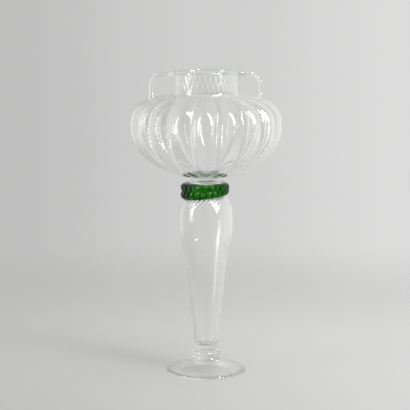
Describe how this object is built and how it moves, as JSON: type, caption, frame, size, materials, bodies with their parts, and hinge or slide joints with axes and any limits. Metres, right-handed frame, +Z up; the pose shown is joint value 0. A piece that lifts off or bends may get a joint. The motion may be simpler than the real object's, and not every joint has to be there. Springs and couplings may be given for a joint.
{
  "type": "hyacinth forcing vase",
  "caption": "Tall footed vase of clear glass: melon-ribbed bowl with a round neck and two small handles on a hollow stem, a green trail wound over the joint; holds a bulb over water.",
  "frame": {"origin": "on the floor, under the vase's axis", "axes": "+Z up along the vase's axis, -Y the front seen in the picture, the two handles along X"},
  "size_m": [0.173, 0.1754, 0.35],
  "materials": {
    "clear_glass": "polished, hand-worked, faintly green",
    "green_glass": "polished, deep green"
  },
  "bodies": {
    "root": {"foot": "clear_glass", "knop": "clear_glass", "stem": "clear_glass", "wafer": "clear_glass", "collar": "green_glass", "bowl": "clear_glass", "left_handle": "clear_glass", "right_handle": "clear_glass"}
  },
  "joints": []
}
